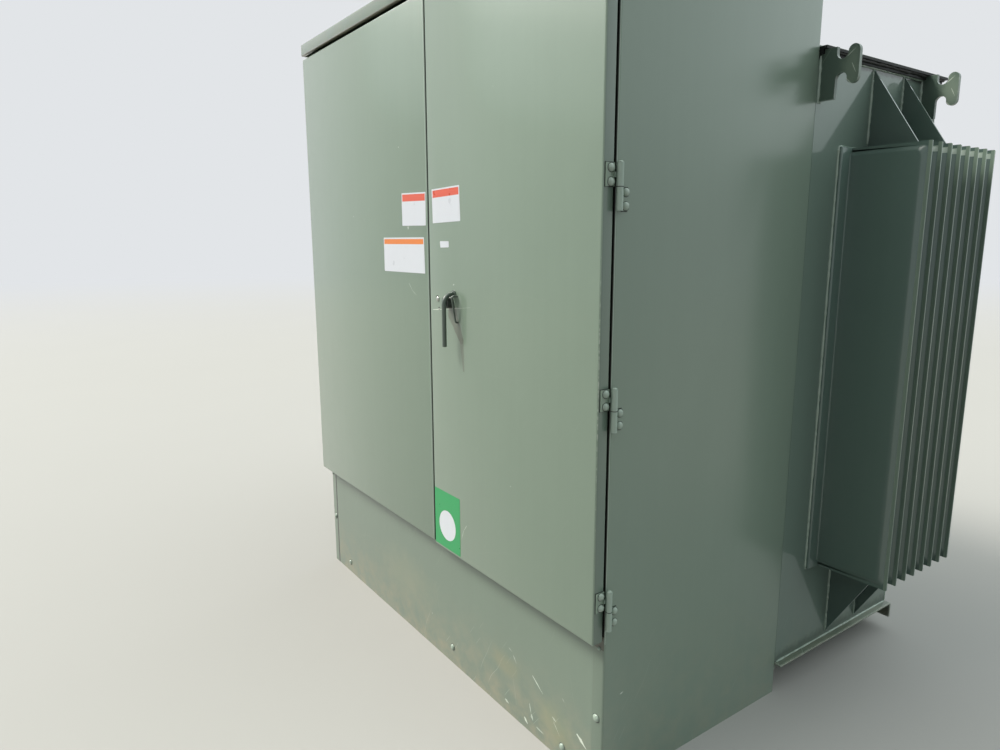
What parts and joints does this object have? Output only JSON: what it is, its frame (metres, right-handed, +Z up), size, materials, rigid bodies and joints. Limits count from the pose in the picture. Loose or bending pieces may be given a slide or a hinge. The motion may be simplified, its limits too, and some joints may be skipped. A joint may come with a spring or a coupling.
{
  "type": "pad-mounted power transformer",
  "caption": "Green pad-mounted three-phase transformer with a two-door cabinet, a sill, lift-off hinges, a bent latch handle and pressed cooling fins on the tank behind.",
  "frame": {"origin": "on the ground under the middle of the whole unit's bounding box", "axes": "+Z up, -Y towards the doors, +X towards the right-hand door as seen from the front"},
  "size_m": [2.268, 1.6099, 2.25],
  "materials": {
    "cabinet_paint": "semi-gloss olive green paint",
    "tank_paint": "semi-gloss olive green paint",
    "handle_steel": "dark satin paint",
    "zinc_plate": "zinc plated",
    "core_and_coils": "varnished windings on a steel core",
    "bushing_epoxy": "cast resin",
    "tinned_terminal": "tin plated",
    "gauge_case": "satin black",
    "valve_brass": "cast brass"
  },
  "bodies": {
    "enclosure": {"cabinet_left_side": "cabinet_paint", "cabinet_right_side": "cabinet_paint", "cabinet_roof": "cabinet_paint", "cabinet_sill": "cabinet_paint", "cabinet_back": "cabinet_paint", "compartment_barrier": "cabinet_paint", "tank_front_wall": "tank_paint", "tank_rear_wall": "tank_paint", "tank_left_wall": "tank_paint", "tank_right_wall": "tank_paint", "tank_base": "tank_paint", "tank_rim": "tank_paint", "tank_cover": "tank_paint", "base_frame": "tank_paint", "core_and_coils": "core_and_coils", "left_cooling_bank": "tank_paint", "right_cooling_bank": "tank_paint", "left_front_lifting_lug": "tank_paint", "left_rear_lifting_lug": "tank_paint", "right_front_lifting_lug": "tank_paint", "right_rear_lifting_lug": "tank_paint", "high_voltage_bushings": "bushing_epoxy", "low_voltage_bushings": "bushing_epoxy", "low_voltage_terminal_1": "tinned_terminal", "low_voltage_terminal_2": "tinned_terminal", "low_voltage_terminal_3": "tinned_terminal", "low_voltage_terminal_4": "tinned_terminal", "level_gauge": "gauge_case", "thermometer": "gauge_case", "pressure_gauge": "gauge_case", "drain_valve": "valve_brass", "high_voltage_ground_pad": "zinc_plate", "low_voltage_ground_pad": "zinc_plate"},
    "left_door": {"left_door": "cabinet_paint", "left_door_stiffener": "cabinet_paint"},
    "right_door": {"right_door": "cabinet_paint", "handle_boss": "handle_steel", "padlock_staple": "handle_steel", "bolt_guard": "handle_steel", "right_door_stiffener": "cabinet_paint"},
    "handle": {"handle": "handle_steel", "latch_cam": "zinc_plate"}
  },
  "joints": [
    {"name": "left_door_hinge", "type": "hinge", "parent": "enclosure", "child": "left_door", "pos_m": [-0.9093, -0.71935, 0], "axis": [0, 0, -1], "range_deg": [0, 120]},
    {"name": "right_door_hinge", "type": "hinge", "parent": "enclosure", "child": "right_door", "pos_m": [0.9093, -0.71935, 0], "axis": [0, 0, 1], "range_deg": [0, 120]},
    {"name": "handle_turn", "type": "hinge", "parent": "right_door", "child": "handle", "pos_m": [0.257, -0.76085, 1.304], "axis": [0, -1, 0], "range_deg": [0, 90]}
  ]
}
